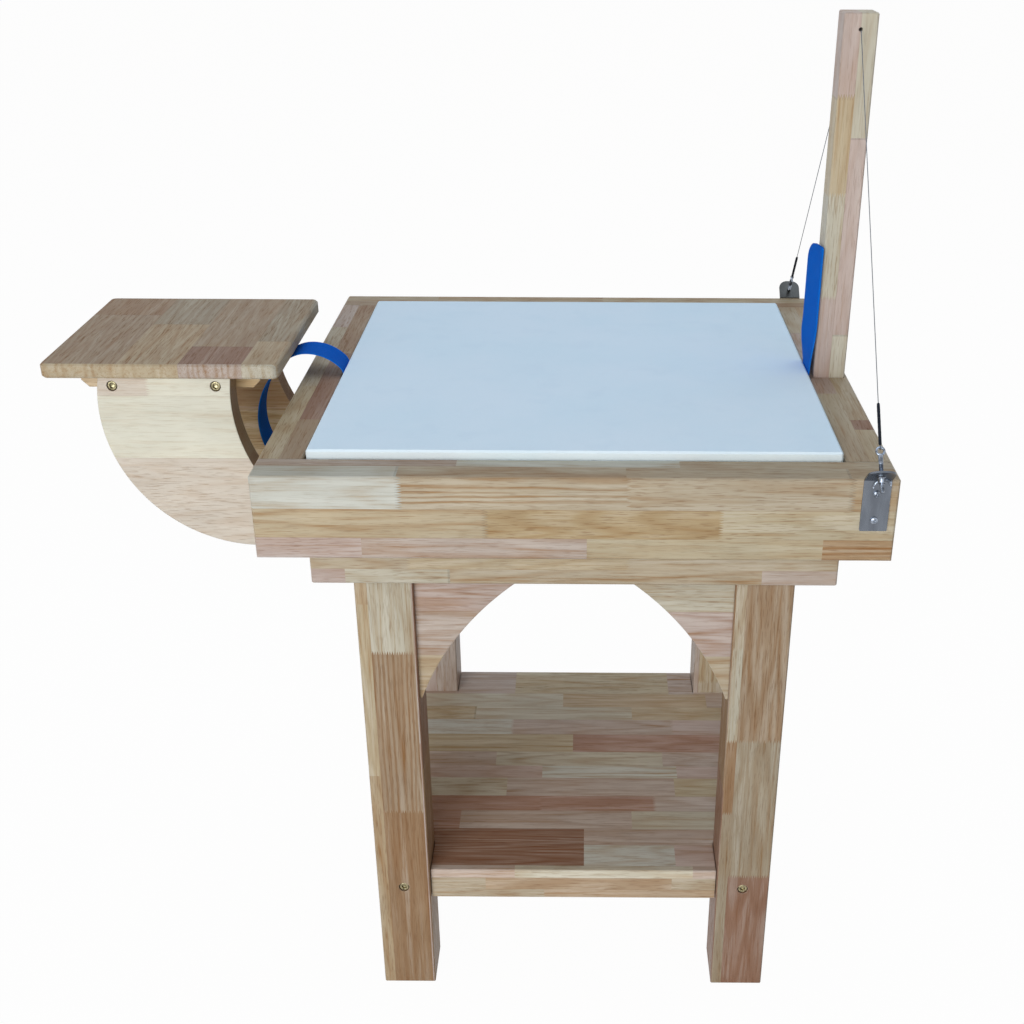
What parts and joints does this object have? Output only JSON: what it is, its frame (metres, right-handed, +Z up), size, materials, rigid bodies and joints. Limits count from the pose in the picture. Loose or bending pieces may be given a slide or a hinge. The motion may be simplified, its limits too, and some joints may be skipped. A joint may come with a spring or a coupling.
{
  "type": "pottery wedging table",
  "caption": "Wooden wedging table with a lift-out plaster slab in a tray, a wire clay cutter strung from a mast, a small side shelf and a lower shelf.",
  "frame": {"origin": "on the floor, in the middle of the whole outline seen from above", "axes": "+Z up, -Y towards the front, +X towards the mast's side"},
  "size_m": [0.99, 0.7558, 1.24],
  "materials": {
    "tray_wood": "oiled rubberwood, laminated with finger joints",
    "hidden_wood": "plain beech tenons, out of sight",
    "bench_wood": "oiled rubberwood, laminated",
    "leg_wood": "oiled rubberwood, laminated with finger joints",
    "gusset_wood": "oiled rubberwood, pale",
    "shelf_wood": "oiled rubberwood, laminated",
    "side_shelf_wood": "oiled rubberwood, laminated",
    "knee_wood": "oiled rubberwood board, cut to curves",
    "mast_wood": "oiled rubberwood, laminated",
    "plaster": "dry cast pottery plaster, matt",
    "blue_webbing": "woven webbing",
    "yellow_zinc_steel": "yellow zinc plate",
    "plate_steel": "polished stainless sheet",
    "hardware_steel": "bright stainless",
    "wire_steel": "stranded wire",
    "black_sleeve": "shrunk plastic sleeve"
  },
  "bodies": {
    "table": {"bench_top": "bench_wood", "cutting_wire": "wire_steel", "front_left_gusset": "gusset_wood", "front_left_leg": "leg_wood", "front_right_gusset": "gusset_wood", "front_right_leg": "leg_wood", "front_tension_plate": "plate_steel", "front_washer": "hardware_steel", "leg_screws": "yellow_zinc_steel", "lower_shelf": "shelf_wood", "mast": "mast_wood", "plate_screws": "hardware_steel", "rear_left_gusset": "gusset_wood", "rear_left_leg": "leg_wood", "rear_right_gusset": "gusset_wood", "rear_right_leg": "leg_wood", "rear_tension_plate": "plate_steel", "rear_washer": "hardware_steel", "side_shelf_board": "side_shelf_wood", "side_shelf_front_cleat": "knee_wood", "side_shelf_front_knee": "knee_wood", "side_shelf_knee_screws": "yellow_zinc_steel", "side_shelf_rear_cleat": "knee_wood", "side_shelf_rear_knee": "knee_wood", "side_shelf_tongue_screws": "yellow_zinc_steel", "tray_corner_tenons": "hidden_wood", "tray_floor": "tray_wood", "tray_front_rail": "tray_wood", "tray_left_rail": "tray_wood", "tray_rear_rail": "tray_wood", "tray_right_rail": "tray_wood"},
    "front_nut": {"front_wing_nut": "hardware_steel"},
    "rear_nut": {"rear_wing_nut": "hardware_steel"},
    "front_eye": {"front_eye_bolt": "hardware_steel", "front_sleeve": "black_sleeve"},
    "rear_eye": {"rear_eye_bolt": "hardware_steel", "rear_sleeve": "black_sleeve"},
    "slab": {"plaster_slab": "plaster", "lifting_strap": "blue_webbing"}
  },
  "joints": [
    {"name": "front_nut_turn", "type": "hinge", "parent": "table", "child": "front_nut", "pos_m": [0.47, -0.36263, 0.81504], "axis": [0, 0.6418, 0.7668], "range_deg": [-3606, 1086]},
    {"name": "front_eye_slide", "type": "slide", "parent": "table", "child": "front_eye", "axis": [0, 0.6418, 0.7668], "range_m": [-0.0024, 0.008], "deforming": ["cutting_wire"]},
    {"name": "rear_nut_turn", "type": "hinge", "parent": "table", "child": "rear_nut", "pos_m": [0.47, 0.36263, 0.81504], "axis": [0, -0.6418, 0.7668], "range_deg": [-3606, 1086]},
    {"name": "rear_eye_slide", "type": "slide", "parent": "table", "child": "rear_eye", "axis": [0, -0.6418, 0.7668], "range_m": [-0.0024, 0.008], "deforming": ["cutting_wire"]},
    {"name": "slab_lift", "type": "slide", "parent": "table", "child": "slab", "axis": [0, 0, 1], "range_m": [0, 0.08], "deforming": ["lifting_strap"]}
  ],
  "couplings": [
    {"joint": "front_nut_turn", "follows": "front_eye_slide", "rad_per_m": -7854},
    {"joint": "rear_nut_turn", "follows": "rear_eye_slide", "rad_per_m": -7854}
  ]
}
